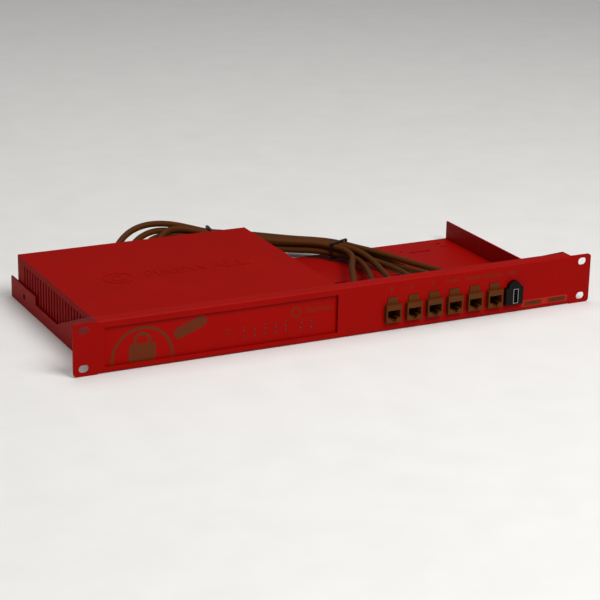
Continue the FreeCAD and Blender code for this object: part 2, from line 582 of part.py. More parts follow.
# ---------------------------------------------------------------- firewall case
def top_cover():
    """Folded lid and sides, with a row of upright vent slots along both sides."""
    body = document.addObject("PartDesign::Body", "top_cover")
    fold = body_sketch(body, "XZ_Plane", "cover_section")
    left, right = CASE_LEFT, CASE_RIGHT
    outline(fold, [(left, CASE_BASE), (left, CASE_TOP), (right, CASE_TOP), (right, CASE_BASE),
                   (f"{right} - cover_metal", CASE_BASE), (f"{right} - cover_metal", f"{CASE_TOP} - cover_metal"),
                   (f"{left} + cover_metal", f"{CASE_TOP} - cover_metal"), (f"{left} + cover_metal", CASE_BASE)])
    bind(fold, AttachmentOffset__Base__z=f"-{SHELL_FRONT}")
    shell = body.newObject("PartDesign::Pad", "cover_shell")
    shell.Profile = fold
    shell.Reversed = True
    bind(shell, Length="case_depth - bezel_metal")
    document.recompute()
    for i, x in enumerate(COVER_SCREWS, start=1):
        tab = body.newObject("PartDesign::AdditiveBox", f"cover_tab_{i}")
        bind(tab, Length=12, Width=1, Height=f"{LID_UNDER} + 0.5 - {TAB_FOOT}")
        place(tab, f"{x} - 6", f"{CASE_BACK} - chassis_metal - 1.1", TAB_FOOT)
    for i, x in enumerate(COVER_SCREWS, start=1):
        hole = body.newObject("PartDesign::SubtractiveCylinder", f"cover_tab_hole_{i}")
        hole.Placement = FreeCAD.Placement(Vector(), ALONG["Y"])
        bind(hole, Radius=1.5, Height=4)
        place(hole, x, f"{CASE_BACK} - 4", COVER_SCREW_LIFT)
    slot = body_sketch(body, "YZ_Plane", "cover_vent")
    outline(slot, rectangle(f"{SHELL_FRONT} + vent_start", f"({CASE_BASE} + {CASE_TOP}) / 2 - vent_height / 2",
                            "vent_width", "vent_height"))
    vent = body.newObject("PartDesign::Pocket", "cover_vents")
    vent.Profile = slot
    vent.Type = "ThroughAll"
    vent.Midplane = True
    document.recompute()
    row = body.newObject("PartDesign::LinearPattern", "cover_vent_row")
    row.Originals = [vent]
    row.Direction = (slot, ["H_Axis"])
    bind(row, Length="vent_pitch * (vent_count - 1)", Occurrences="vent_count")
    body.Tip = row


COVER_SCREWS = [f"({CASE_LEFT} + 19)", f"({CASE_LEFT} + 78)", f"({CASE_RIGHT} - 78)", f"({CASE_RIGHT} - 19)"]
LID_UNDER = f"({CASE_TOP} - cover_metal)"
TAB_FOOT = f"({BOARD_TOP} + usb_rise + tab_gap)"
COVER_SCREW_LIFT = f"(({TAB_FOOT} + {LID_UNDER}) / 2 - 0.75)"


def base_chassis():
    """Folded base: floor, two side flanges and a front flange, and the rear wall with its port holes."""
    inner_left = f"({CASE_LEFT} + cover_metal + fit_gap)"
    inner_width = "(case_width - 2 * cover_metal - 2 * fit_gap)"
    depth = f"({CASE_BACK} - {SHELL_FRONT} - fit_gap)"
    front = f"({SHELL_FRONT} + fit_gap)"
    floor = box("chassis_floor", inner_left, front, CASE_BASE, inner_width, depth, "chassis_metal")
    back = box("chassis_back", inner_left, f"{CASE_BACK} - chassis_metal", CASE_BASE, inner_width,
               "chassis_metal", "case_height - cover_metal - fit_gap")
    nose = box("chassis_front_flange", inner_left, front, CASE_BASE, inner_width, "chassis_metal",
               "flange_rise")
    sides = [box(f"chassis_{side}_flange", x, front, CASE_BASE, "chassis_metal", depth, "flange_rise")
             for side, x in (("left", inner_left),
                             ("right", f"{inner_left} + {inner_width} - chassis_metal"))]
    wall = f"{CASE_BACK} - chassis_metal - 1"
    through = "chassis_metal + 2"
    sill = f"{BOARD_TOP} - port_gap"
    rise = "port_height + 2 * port_gap"
    lan_left = f"({PORT_CENTRES[4]} - port_pitch / 2)"
    tools = [box("chassis_lan_hole", f"{lan_left} - port_gap", wall, sill, "5 * port_pitch + 2 * port_gap",
                 through, rise),
             middle_box("chassis_console_hole", CONSOLE_PLACE, wall, sill, "(14 + 2 * port_gap)", through,
                        rise),
             middle_box("chassis_usb_hole", USB_PLACE, wall, sill, "(14.4 + 2 * port_gap)", through,
                        "usb_rise + 2 * port_gap"),
             middle_box("chassis_power_hole", POWER_PLACE, wall, sill, "(10 + 2 * port_gap)", through,
                        "11 + 2 * port_gap"),
             rod("chassis_reset_hole", "Y", RESET_PLACE, wall, RESET_LIFT, "reset_radius + 0.3", through)]
    tools += [rod(f"chassis_screw_hole_{i}", "Y", x, wall, COVER_SCREW_LIFT, 1.7, through)
              for i, x in enumerate(COVER_SCREWS)]
    cut("base_chassis", join("chassis_folded", [floor, back, nose] + sides), tools)


def cover_screws():
    screws = []
    for i, x in enumerate(COVER_SCREWS):
        head = rod(f"cover_screw_head_{i}", "Y", x, CASE_BACK, COVER_SCREW_LIFT, 2.8, 1.8)
        shank = rod(f"cover_screw_shank_{i}", "Y", x, f"{CASE_BACK} - 5", COVER_SCREW_LIFT, 1.45, 5)
        screws.append(join(f"cover_screw_{i}", [head, shank]))
    together("cover_screws", screws)


LED_PLACES = [(0, 1)] + [(step, low) for step in (1.55, 2.55, 3.55, 4.55, 5.55, 7.06, 8.06) for low in (0, 1)]


def front_bezel():
    """Moulded front plate with a hole for each status light, and the lights' clear lenses."""
    plate = box("bezel_plate", CASE_LEFT, "case_setback", CASE_BASE, "case_width", "bezel_metal",
                "case_height")
    holes = []
    lenses = []
    for i, (step, upper) in enumerate(LED_PLACES):
        x = f"{CASE_LEFT} + led_place + {step} * led_pitch"
        z = f"{CASE_BASE} + led_lift - 1.9 + {upper} * led_rise"
        holes.append(rod(f"bezel_hole_{i}", "Y", x, "case_setback - 1", z, "led_radius", "bezel_metal + 2"))
        lenses.append(rod(f"led_lens_{i}", "Y", x, "case_setback - 0.2", z, "led_radius - 0.05",
                          "bezel_metal + 0.2"))
    holes_tool = together("bezel_holes", holes)
    cut("front_bezel", plate, [holes_tool])
    together("led_lenses", lenses)


def rubber_feet():
    feet = []
    for i, x in enumerate((f"{CASE_LEFT} + 18", f"{CASE_RIGHT} - 18")):
        for k, y in enumerate(("case_setback + 20", f"{CASE_BACK} - 20")):
            foot = document.addObject("Part::Cone", f"rubber_foot_{i}_{k}")
            bind(foot, Radius1="foot_radius - 0.8", Radius2="foot_radius", Height="foot_height")
            place(foot, x, y, FLOOR)
            feet.append(foot)
    together("rubber_feet", feet)


# ---------------------------------------------------------------- electronics
USB_PLACE = f"({CONSOLE_PLACE} - 19)"
POWER_PLACE = f"({CASE_LEFT} + 26)"
STANDOFFS = [(f"({CASE_LEFT} + {x})", f"({y})") for x, y in
             ((20, 30), (108, 26), (196, 30), (20, 150), (196, 150))]


def main_board():
    left = f"({CASE_LEFT} + board_inset)"
    plate = box("board_plate", left, "board_front", f"{CASE_BASE} + board_lift",
                "case_width - 2 * board_inset",
                f"{CASE_BACK} - chassis_metal - board_back_gap - board_front", "board_metal")
    holes = [rod(f"board_hole_{i}", "Z", x, y, f"{CASE_BASE} + board_lift - 1", 1.7, "board_metal + 2")
             for i, (x, y) in enumerate(STANDOFFS)]
    cut("main_board", plate, holes)
    posts = []
    screws = []
    for i, (x, y) in enumerate(STANDOFFS):
        post = hexagon(f"standoff_post_{i}", x, y, f"{CASE_BASE} + chassis_metal", 3.2,
                       "board_lift - chassis_metal")
        bore = rod(f"standoff_bore_{i}", "Z", x, y, f"{CASE_BASE} + chassis_metal + 0.4", 1.45, "board_lift")
        posts.append(cut(f"standoff_{i}", post, [bore]))
        head = rod(f"board_screw_head_{i}", "Z", x, y, BOARD_TOP, 2.8, 1.8)
        shank = rod(f"board_screw_shank_{i}", "Z", x, y, f"{BOARD_TOP} - 5.5", 1.4, 5.5)
        screws.append(join(f"board_screw_{i}", [head, shank]))
    together("board_standoffs", posts)
    together("board_screws", screws)


def heatsink():
    """Extruded block of upright fins, one fin patterned across the base."""
    side, base, fin, rise, fins = 70, 4, 1.4, 13, 9
    x, y = f"({CASE_LEFT} + 108)", 90
    bottom = f"({BOARD_TOP} + 1.6)"
    middle_box("processor", x, f"{y} - 12", BOARD_TOP, 24, 24, 1.6)
    body = document.addObject("PartDesign::Body", "heatsink")
    plan = body_sketch(body, "XZ_Plane", "heatsink_base_section")
    bind(plan, AttachmentOffset__Base__z=-(y - side / 2))
    outline(plan, rectangle(f"{x} - {side / 2}", bottom, side, base))
    block = body.newObject("PartDesign::Pad", "heatsink_base")
    block.Profile = plan
    block.Reversed = True
    bind(block, Length=side)
    edge = body_sketch(body, "XZ_Plane", "heatsink_fin_section")
    bind(edge, AttachmentOffset__Base__z=-(y - side / 2))
    outline(edge, rectangle(f"{x} - {side / 2}", f"{bottom} + {base - 0.5}", fin, rise))
    blade = body.newObject("PartDesign::Pad", "heatsink_fin")
    blade.Profile = edge
    blade.Reversed = True
    bind(blade, Length=side)
    document.recompute()
    row = body.newObject("PartDesign::LinearPattern", "heatsink_fins")
    row.Originals = [blade]
    row.Direction = (edge, ["H_Axis"])
    bind(row, Length=side - fin, Occurrences=fins)
    body.Tip = row


def chips():
    memory = [box(f"memory_chip_{i}", f"{CASE_LEFT} + 150", 60 + 17 * i, BOARD_TOP, 11, 13, 1.1)
              for i in range(4)]
    together("memory_chips", memory)
    magnetics = [box(f"lan_magnetic_{i}", f"{PORT_FIRST} - 12 - {i} * 22", 150, BOARD_TOP, 15, 12, 5.5)
                 for i in range(3)]
    together("lan_magnetics", magnetics)
    rod("coin_cell", "Z", f"{CASE_RIGHT} - 40", 60, BOARD_TOP, 10, 3.2)


def port_block(name, centres, width):
    """A block of modular sockets that open to the rear."""
    start = f"{PORT_BACK} - port_depth"
    left = f"{centres[-1]} - {width} / 2"
    block = box(name + "_block", left, start, BOARD_TOP, f"{width} + {centres[0]} - {centres[-1]}",
                "port_depth", "port_height")
    hollows = []
    for i, x in enumerate(centres):
        hollows += jack_hollow(f"{name}_{i}", x, PORT_BACK, PORT_JACK, True, True)
    cut(name, block, hollows)


def usb_ports():
    """Two level USB sockets, one above the other, in one metal shell."""
    block = middle_box("usb_block", USB_PLACE, f"{PORT_BACK} - 17", BOARD_TOP, 14.4, 17, "usb_rise")
    hollows = []
    for i in range(2):
        low = f"({BOARD_TOP} + {1.2 + 7.6 * i})"
        way = middle_box(f"usb_way_{i}", USB_PLACE, f"{PORT_BACK} - 14", low, 12.8, 15, 5.4)
        tongue = middle_box(f"usb_blade_{i}", USB_PLACE, f"{PORT_BACK} - 14.5", f"{low} + 3", 10.6, 12.5, 1.8)
        hollows.append(cut(f"usb_hollow_{i}", way, [tongue]))
    cut("usb_ports", block, hollows)


def dc_inlet():
    block = middle_box("inlet_block", POWER_PLACE, f"{PORT_BACK} - 14", BOARD_TOP, 10, 14, 11)
    centre = f"{BOARD_TOP} + 5.8"
    bore = rod("inlet_bore", "Y", POWER_PLACE, f"{PORT_BACK} - 11", centre, 3.2, 12)
    pin = rod("inlet_pin", "Y", POWER_PLACE, f"{PORT_BACK} - 11.5", centre, 1.0, 11)
    cut("dc_inlet", block, [cut("inlet_ring", bore, [pin])])


def reset_button():
    """A small round button in the rear wall, whose stem slides in its switch."""
    inner = f"({CASE_BACK} - chassis_metal)"
    front = f"({inner} - 2.4)"
    head = rod("reset_head", "Y", RESET_PLACE, f"{inner} - 1.3", RESET_LIFT, "reset_radius",
               "chassis_metal + 2.5")
    stem = rod("reset_stem", "Y", RESET_PLACE, f"{front} - 4", RESET_LIFT, 0.9, 3.5)
    join("reset_button", [head, stem])
    body = middle_box("reset_switch_body", RESET_PLACE, f"{front} - 6", BOARD_TOP, 6, 6, 6.2)
    bore = rod("reset_switch_bore", "Y", RESET_PLACE, f"{front} - 4 - reset_travel - 0.2", RESET_LIFT,
               0.97, 8)
    cut("reset_switch", body, [bore])


# ---------------------------------------------------------------- the whole object
def label_plates():
    """A printed strip under the couplers' right end, with two raised labels on it."""
    strip = box("label_strip", 171.4, "-metal - 0.3", f"{BASE} + 3.3", 47.2, 0.3, 6.2)
    labels = [box(f"label_{i}", x, "-metal - 0.5", f"{BASE} + 4.1", width, 0.3, 4.6)
              for i, (x, width) in enumerate(((173.6, 18.5), (197.8, 19)))]
    join("label_plates", [strip] + labels)


rack_tray()
stop_brackets()
label_plates()
network_couplers()
usb_coupler()
plugs()
patch_leads()
cable_tie("front_cable_tie", (91.5, 190, -10.5), -67, 19.8, 13.2)
cable_tie("rear_cable_tie", (-9, 259.4, -6.6), -8, 20.6, 14)
top_cover()
base_chassis()
cover_screws()
front_bezel()
rubber_feet()
main_board()
heatsink()
chips()
port_block("lan_port_block", PORT_CENTRES[:5], "port_pitch")
port_block("console_port", [CONSOLE_PLACE], "port_pitch")
usb_ports()
dc_inlet()
reset_button()
document.recompute()

NODES = (["rack_tray", "left_stop_bracket", "right_stop_bracket", "bracket_screws", "label_plates"]
         + [f"coupler_housing_{i}" for i in range(1, 7)]
         + ["coupler_contacts", "usb_coupler_housing", "usb_coupler_shells", "usb_coupler_tongues"]
         + [f"patch_lead_{i}" for i in range(1, 7)]
         + ["front_plugs", "rear_plugs", "front_boots", "rear_boots", "plug_blades"]
         + [f"{end}_latch_{i}" for end in ("front", "rear") for i in range(1, 7)]
         + ["front_cable_tie", "rear_cable_tie", "top_cover", "base_chassis", "cover_screws", "front_bezel",
            "led_lenses", "rubber_feet", "main_board", "board_standoffs", "board_screws", "processor",
            "heatsink", "memory_chips", "lan_magnetics", "coin_cell", "lan_port_block", "console_port",
            "usb_ports", "dc_inlet", "reset_button", "reset_switch"])

for item in document.Objects:
    if "Invalid" in item.State or "Error" in item.State:
        raise RuntimeError(f"{item.Name} is {item.State}")

os.makedirs("parts", exist_ok=True)
for node in NODES:
    shape = document.getObject(node).Shape
    if shape.isNull() or not shape.isValid() or not shape.Solids:
        raise RuntimeError(f"{node} has no valid solid")
    shape.exportStep(f"parts/{node}.step")
print(len(NODES), "nodes written")
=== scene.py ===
# %% [markdown]
# A firewall in a rack tray.
# The metal tray, the firewall's case, the couplers and the plugs come from a CAD model whose places and
# sizes are right already. This lesson gives them their finishes and adds what a CAD model leaves out:
# rounded edges, moulded boots, screw heads, printed marks, cable ties and the bundle of patch leads.

import json
import math

import bmesh
import bpy
from mathutils import Matrix, Vector

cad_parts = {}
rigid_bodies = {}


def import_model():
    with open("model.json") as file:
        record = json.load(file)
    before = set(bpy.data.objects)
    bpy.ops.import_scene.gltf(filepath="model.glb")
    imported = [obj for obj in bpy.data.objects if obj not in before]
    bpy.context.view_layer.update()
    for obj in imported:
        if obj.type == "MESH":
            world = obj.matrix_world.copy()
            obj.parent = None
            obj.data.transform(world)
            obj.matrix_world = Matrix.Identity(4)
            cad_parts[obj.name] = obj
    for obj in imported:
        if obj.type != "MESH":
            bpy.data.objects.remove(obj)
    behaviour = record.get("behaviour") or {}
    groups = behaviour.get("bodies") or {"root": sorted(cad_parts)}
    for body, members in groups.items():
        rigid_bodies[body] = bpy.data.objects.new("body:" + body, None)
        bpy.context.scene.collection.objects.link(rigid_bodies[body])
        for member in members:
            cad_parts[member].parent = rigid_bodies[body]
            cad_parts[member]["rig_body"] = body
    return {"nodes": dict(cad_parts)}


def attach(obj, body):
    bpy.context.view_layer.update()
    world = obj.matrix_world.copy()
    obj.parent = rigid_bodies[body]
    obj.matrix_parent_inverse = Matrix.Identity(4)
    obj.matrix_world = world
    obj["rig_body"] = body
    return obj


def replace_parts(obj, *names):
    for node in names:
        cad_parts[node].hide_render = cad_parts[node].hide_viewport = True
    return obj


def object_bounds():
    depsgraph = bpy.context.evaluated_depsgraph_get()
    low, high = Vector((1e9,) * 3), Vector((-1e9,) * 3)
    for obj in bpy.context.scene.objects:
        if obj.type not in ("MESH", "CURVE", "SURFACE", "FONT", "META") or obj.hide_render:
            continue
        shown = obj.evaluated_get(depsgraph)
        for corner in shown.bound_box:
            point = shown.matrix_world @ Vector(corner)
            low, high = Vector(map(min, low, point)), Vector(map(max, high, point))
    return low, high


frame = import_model()
nodes = frame["nodes"]
MM = 0.001
MAIN = "tray_and_firewall"
cad_low, cad_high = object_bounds()
print("CAD model", [round(v / MM, 1) for v in cad_high - cad_low], "mm")

# %% [markdown]
# The camera.
# A rack panel is 482.6 mm wide and 44 mm high, so a view of its corners says where the camera stood.
# It stood to the left, well above the panel, and a long lens keeps the far end of the panel large.
# The camera also leaned a little, so its axes are worked out from three angles.

# %% Camera
CAMERA_PLACE = Vector((-729.1, -1354.88, 527.42)) * MM
CAMERA_TURN, CAMERA_RISE, CAMERA_LEAN = (math.radians(v) for v in (-26.83, 18.62, 1.23))
SENSOR_WIDTH, FOCAL_LENGTH = 36, 117.43


def camera_axes(turn, rise, lean):
    """The camera's right, up and backward directions."""
    back = Vector((math.sin(turn) * math.cos(rise), -math.cos(turn) * math.cos(rise), math.sin(rise)))
    right = Vector((math.cos(turn), math.sin(turn), 0))
    up = back.cross(right)
    leaning_right = right * math.cos(lean) + up * math.sin(lean)
    leaning_up = up * math.cos(lean) - right * math.sin(lean)
    return leaning_right, leaning_up, back


lens = bpy.data.cameras.new("camera")
lens.sensor_width = SENSOR_WIDTH
lens.lens = FOCAL_LENGTH
lens.clip_start = 0.05
lens.clip_end = 20
camera = bpy.data.objects.new("camera", lens)
camera.matrix_world = (Matrix.Translation(CAMERA_PLACE)
                       @ Matrix(camera_axes(CAMERA_TURN, CAMERA_RISE, CAMERA_LEAN)).transposed().to_4x4())
bpy.context.scene.collection.objects.link(camera)
bpy.context.scene.camera = camera
print("camera stands", round(camera.location.length, 2), "m from the rack slots' centre")

# %% [markdown]
# The patch leads.
# Six leads leave the firewall's rear sockets, rise to the right in a bundle two leads high, and come back
# over the tray to the couplers. Each is one smooth spline on listed control points, the same ones
# that the CAD tubes follow, so it stays inside their room and goes straight into its boots.

# %% Patch leads
LEAD_DIAMETER = 5.8 * MM
LEAD_ROUTES = [
    [(-45, 216.5, -5.6), (-45, 229.3, -5.6), (-39.9, 240.9, -3.5), (-30.5, 249.1, -1.6),
     (-18.7, 253.3, -1.6), (-6.5, 252.5, -3.4), (3.4, 248.6, -3.7), (20.3, 237.3, -6.3), (50.5, 216, -6.8),
     (74, 200.9, -6.1), (85.8, 187.6, -7.6), (90.6, 175.7, -7.2), (89.6, 156.9, -8.2), (74, 131, -9),
     (60.5, 101.6, -8.6), (48.5, 78, -7.2), (42.5, 63, -6.6), (42.5, 49.5, -6.6)],
    [(-59, 216.5, -5.6), (-59, 228.7, -5.6), (-54.3, 240.2, -5.3), (-45.3, 249.2, -4.7),
     (-33.6, 253.9, -5.3), (-20, 254.8, -8.2), (-8.4, 252.7, -10.3), (4.2, 247.8, -12.5),
     (21.2, 237.1, -13.4), (50.7, 215.9, -14), (74.3, 200.2, -13.1), (85.9, 187.6, -14.1),
     (93.7, 173.5, -13.3), (96.2, 159.9, -13), (91.1, 136.1, -12.1), (79.5, 105, -10.2), (68.5, 80, -8.1),
     (62.5, 63.5, -6.6), (62.5, 49.5, -6.6)],
    [(-73, 216.5, -5.6), (-73, 232.3, -5.6), (-67.5, 246.3, -0.5), (-57.4, 255.3, 4.8),
     (-43.7, 260.8, 5.7), (-21.6, 260.7, 0.2), (-5.9, 258.9, -4.4), (7.3, 254, -6.3), (24.2, 242.4, -5.9),
     (54.8, 221.6, -7.1), (79.7, 204.8, -6.3), (91.7, 190, -7.5), (97.4, 176.7, -7.1),
     (101.5, 160.2, -7.8), (99.9, 136.9, -8.8), (93, 105, -8.8), (86, 79.9, -7.5), (82.5, 64, -6.6),
     (82.5, 49.5, -6.6)],
    [(-87, 216.5, -5.6), (-87, 231, -5.6), (-81.4, 244.4, -3.4), (-71.2, 254.6, -0.8), (-57.8, 260.2, 0.1),
     (-39.9, 261.5, -1.4), (-21.3, 261, -7.5), (-6.2, 259.4, -10.6), (7.5, 253.6, -13.3),
     (24.7, 242.6, -14.1), (55, 222.4, -13.7), (79.6, 204, -13.9), (91.6, 190.5, -13.9),
     (100.2, 175.3, -13.5), (107, 157.5, -13.4), (112, 134, -12.4), (112, 107, -10.6), (107, 81.9, -8.3),
     (102.5, 64.5, -6.6), (102.5, 49.5, -6.6)],
    [(-101, 216.5, -5.6), (-101, 230.4, -5.6), (-96.6, 243.5, -4.6), (-88, 253.8, -1.4),
     (-75.8, 261.3, 2.4), (-61, 266.1, 4), (-43, 267.7, 0.9), (-25, 267.6, -5.6), (-7.8, 266.5, -10.2),
     (8.4, 260.4, -11.9), (27.9, 248.4, -13), (59.1, 227.4, -13.4), (84.3, 208.5, -13.8), (97.5, 193, -14),
     (105.3, 179.3, -13.4), (114.4, 161.5, -13.5), (122.1, 137.3, -14.1), (126.4, 111.9, -13.2),
     (126.5, 86, -8.2), (122.5, 65, -6.6), (122.5, 49.5, -6.6)],
    [(-117, 216.5, -5.6), (-117, 229.4, -5.6), (-112.6, 241.5, -4.2), (-104.5, 251, 0.4),
     (-94, 257.8, 6.4), (-80.4, 262.8, 10.3), (-64.2, 266.1, 10.9), (-45.5, 268, 7.9), (-27.3, 267.5, 2.4),
     (-9.3, 266, -3.5), (8.5, 261.3, -5.2), (27.6, 248.1, -5.2), (59.2, 227.7, -7.2), (85.1, 208.5, -6.7),
     (97.5, 192.8, -7.1), (104.2, 178.3, -7.3), (113.2, 156.4, -6.7), (125.2, 128.2, -7.7),
     (135.7, 99, -7.8), (141.5, 80, -7.2), (142.5, 63, -6.6), (142.5, 49.5, -6.6)],
]


def lead_curve(name, route, radius):
    """A NURBS spline on a route in millimetres; each control point carries the section's radius."""
    curve = bpy.data.curves.new(name, "CURVE")
    curve.dimensions = "3D"
    curve.bevel_depth = 1.0
    curve.bevel_resolution = 6
    curve.resolution_u = 10
    curve.use_fill_caps = True
    spline = curve.splines.new("NURBS")
    spline.points.add(len(route) - 1)
    for point, place in zip(spline.points, route):
        point.co = (*(v * MM for v in place), 1)
        point.radius = radius
    spline.order_u = 3
    spline.use_endpoint_u = True
    piece = bpy.data.objects.new(name, curve)
    bpy.context.scene.collection.objects.link(piece)
    return piece


leads = []
for index, route in enumerate(LEAD_ROUTES, start=1):
    lead = lead_curve(f"lead_{index}", route, LEAD_DIAMETER / 2)
    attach(lead, MAIN)
    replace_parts(lead, f"patch_lead_{index}")
    leads.append(lead)

# %% [markdown]
# One helper for every finish.
# A material here is a small graph of nodes. One function adds a node, sets it and links it, and one turns
# a colour written as a hex value into the linear light that Blender works in.

# %% Helpers for materials


def linear(colour):
    """An sRGB hex value such as "8a0a06" as linear red, green, blue and 1."""
    channels = [int(colour[i:i + 2], 16) / 255 for i in (0, 2, 4)]
    return (*(c / 12.92 if c <= 0.04045 else ((c + 0.055) / 1.055) ** 2.4 for c in channels), 1)


def add(tree, kind, inputs=None, **settings):
    """Add a node; an input is a value, or a (node, output name) pair to link."""
    made = tree.nodes.new(kind)
    for key, value in settings.items():
        setattr(made, key, value)
    for key, value in (inputs or {}).items():
        if isinstance(value, tuple) and isinstance(value[0], bpy.types.Node):
            tree.links.new(value[0].outputs[value[1]], made.inputs[key])
        else:
            made.inputs[key].default_value = value
    return made


def new_material(name):
    """An empty material with its shader, its output and object coordinates."""
    made = bpy.data.materials.new(name)
    made.use_nodes = True
    tree = made.node_tree
    tree.nodes.clear()
    shader = add(tree, "ShaderNodeBsdfPrincipled")
    add(tree, "ShaderNodeOutputMaterial", {"Surface": (shader, "BSDF")})
    place = add(tree, "ShaderNodeTexCoord")
    return made, tree, shader, place


def surface(name, dark, light, roughness, spread, grain_mm, bump_mm, metallic=0.0, **sockets):
    """A finish whose colour and gloss drift over centimetres and whose surface has a fine grain."""
    made, tree, shader, place = new_material(name)
    drift = add(tree, "ShaderNodeTexNoise", {"Vector": (place, "Object"), "Scale": 28.0, "Detail": 4.0})
    tone = add(tree, "ShaderNodeMix", {"Factor": (drift, "Fac"), "A": linear(dark), "B": linear(light)},
               data_type="RGBA")
    tree.links.new(tone.outputs["Result"], shader.inputs["Base Color"])
    gloss = add(tree, "ShaderNodeMapRange", {"Value": (drift, "Fac"), "To Min": roughness - spread,
                                             "To Max": roughness + spread})
    tree.links.new(gloss.outputs["Result"], shader.inputs["Roughness"])
    grain = add(tree, "ShaderNodeTexNoise", {"Vector": (place, "Object"), "Scale": 1 / (grain_mm * MM),
                                             "Detail": 2.0})
    relief = add(tree, "ShaderNodeBump", {"Height": (grain, "Fac"), "Distance": bump_mm * MM,
                                          "Strength": 1.0})
    tree.links.new(relief.outputs["Normal"], shader.inputs["Normal"])
    shader.inputs["Metallic"].default_value = metallic
    for key, value in sockets.items():
        shader.inputs[key.replace("_", " ")].default_value = value
    return made


# %% [markdown]
# The finishes.
# Powder coat is a plastic powder melted onto steel: it keeps a fine orange-peel texture and a soft gloss.
# The grain here is 0.9 mm, a little coarser than a real one, so that it still shows at this distance.

# %% Painted metal and moulded plastic
TRAY_COAT = surface("powder_coated_steel_red", "860401", "940602", 0.5, 0.06, 0.9, 0.05, IOR=1.5,
                    Specular_IOR_Level=0.05)
CASE_COAT = surface("painted_steel_case_red", "840501", "920802", 0.55, 0.05, 1.1, 0.045, IOR=1.5,
                    Specular_IOR_Level=0.03)
BEZEL_ABS = surface("moulded_abs_bezel_red", "8c0402", "970602", 0.48, 0.04, 1.4, 0.02, IOR=1.5,
                    Specular_IOR_Level=0.05)
COUPLER_ABS = surface("moulded_abs_coupler", "4e2402", "582a04", 0.44, 0.05, 1.2, 0.015, IOR=1.5,
                      Specular_IOR_Level=0.12)
LEAD_PVC = surface("extruded_pvc_lead_jacket", "442001", "502802", 0.55, 0.07, 2.4, 0.05, IOR=1.5,
                   Specular_IOR_Level=0.1)
BOOT_PVC = surface("moulded_pvc_boot", "3e1e01", "482402", 0.6, 0.05, 1.6, 0.02, IOR=1.5,
                   Specular_IOR_Level=0.2)
BLACK_ABS = surface("moulded_abs_black", "050403", "0b0908", 0.46, 0.08, 1.2, 0.02, IOR=1.5,
                    Specular_IOR_Level=0.12)
NYLON = surface("moulded_nylon_black", "0b0908", "151211", 0.36, 0.06, 1.5, 0.02, IOR=1.5,
                Specular_IOR_Level=0.3)
RUBBER = surface("moulded_rubber_black", "0d0c0c", "181616", 0.8, 0.05, 0.8, 0.04, IOR=1.5,
                 Specular_IOR_Level=0.3)
PRINT_INK = surface("screen_print_ink", "5a2002", "642604", 0.5, 0.05, 1.0, 0.01, IOR=1.5,
                    Specular_IOR_Level=0.15)
STRIP_FILM = surface("printed_strip_film", "9a1606", "a61c08", 0.4, 0.05, 1.5, 0.01, IOR=1.5,
                     Specular_IOR_Level=0.15)
LABEL_FILM = surface("printed_label_film", "541e02", "5e2404", 0.4, 0.05, 1.5, 0.01, IOR=1.5,
                     Specular_IOR_Level=0.15)
DARK_INK = surface("dark_label_ink", "340c04", "3e1206", 0.5, 0.05, 1.0, 0.01, IOR=1.5,
                   Specular_IOR_Level=0.15)

# %% [markdown]
# Metals and clear plastic.
# Gold plate on the contacts is thin and bright; zinc on the screws is grey and a little cloudy; the
# sockets' shells are bright tin. The plugs are clear polycarbonate, so light passes through them.

# %% Metals, clear plastic and electronics
GOLD = surface("gold_plate", "c79a3e", "d6ac52", 0.22, 0.06, 0.6, 0.005, metallic=1.0)
ZINC = surface("zinc_plated_steel", "8f8f92", "a5a6a8", 0.34, 0.08, 0.7, 0.012, metallic=1.0)
TIN = surface("tinned_steel", "a0a09e", "b4b4b2", 0.26, 0.08, 2.0, 0.008, metallic=1.0)
BLACK_OXIDE = surface("black_oxide_steel", "1a1818", "262424", 0.4, 0.08, 0.6, 0.012, metallic=0.7)
FIN_ALLOY = surface("extruded_aluminium", "86888a", "9a9c9e", 0.36, 0.06, 0.8, 0.01, metallic=1.0)
BRASS = surface("turned_brass", "a98748", "bb9958", 0.3, 0.06, 0.7, 0.01, metallic=1.0)
SOLDER_MASK = surface("solder_mask_green", "0e3a20", "15502c", 0.35, 0.05, 3.0, 0.03, IOR=1.5)
CHIP_EPOXY = surface("moulded_epoxy_chip", "131315", "1e1e21", 0.6, 0.05, 0.5, 0.02, IOR=1.55)
CLEAR_PC = surface("clear_polycarbonate", "d8d2c4", "e4dece", 0.1, 0.04, 2.0, 0.004, IOR=1.58,
                   Transmission_Weight=0.9)
LENS_PC = surface("smoked_polycarbonate_lens", "1a0806", "2a100c", 0.16, 0.04, 1.5, 0.004, IOR=1.58,
                  Transmission_Weight=0.25)

FINISHES = {
    "board_standoffs": BRASS, "board_screws": ZINC, "processor": CHIP_EPOXY, "memory_chips": CHIP_EPOXY,
    "lan_magnetics": CHIP_EPOXY, "heatsink": FIN_ALLOY, "coin_cell": TIN, "main_board": SOLDER_MASK,
    "reset_switch": CHIP_EPOXY, "coupler_contacts": GOLD, "plug_blades": GOLD,
    "usb_coupler_shells": TIN, "usb_coupler_tongues": BLACK_ABS,
    **{f"{end}_latch_{i}": CLEAR_PC for end in ("front", "rear") for i in range(1, 7)},
}
for node_name, finish in FINISHES.items():
    nodes[node_name].data.materials.clear()
    nodes[node_name].data.materials.append(finish)
for lead in leads:
    lead.data.materials.append(LEAD_PVC)
print(len(bpy.data.materials), "materials")

# %% [markdown]
# Edges that catch the light.
# A folded or moulded edge is never razor sharp, and its thin highlight is what makes metal look like
# metal. The CAD solids have sharp edges, so each visible one is copied, its loose triangles are merged,
# and its edges get a small round. The copy then stands for the CAD node.

# %% Rounded copies of CAD nodes
SHARP = math.radians(28)


def as_mesh(name, shape):
    """End a bmesh as a mesh of that name."""
    mesh = bpy.data.meshes.new(name)
    shape.to_mesh(mesh)
    shape.free()
    return mesh


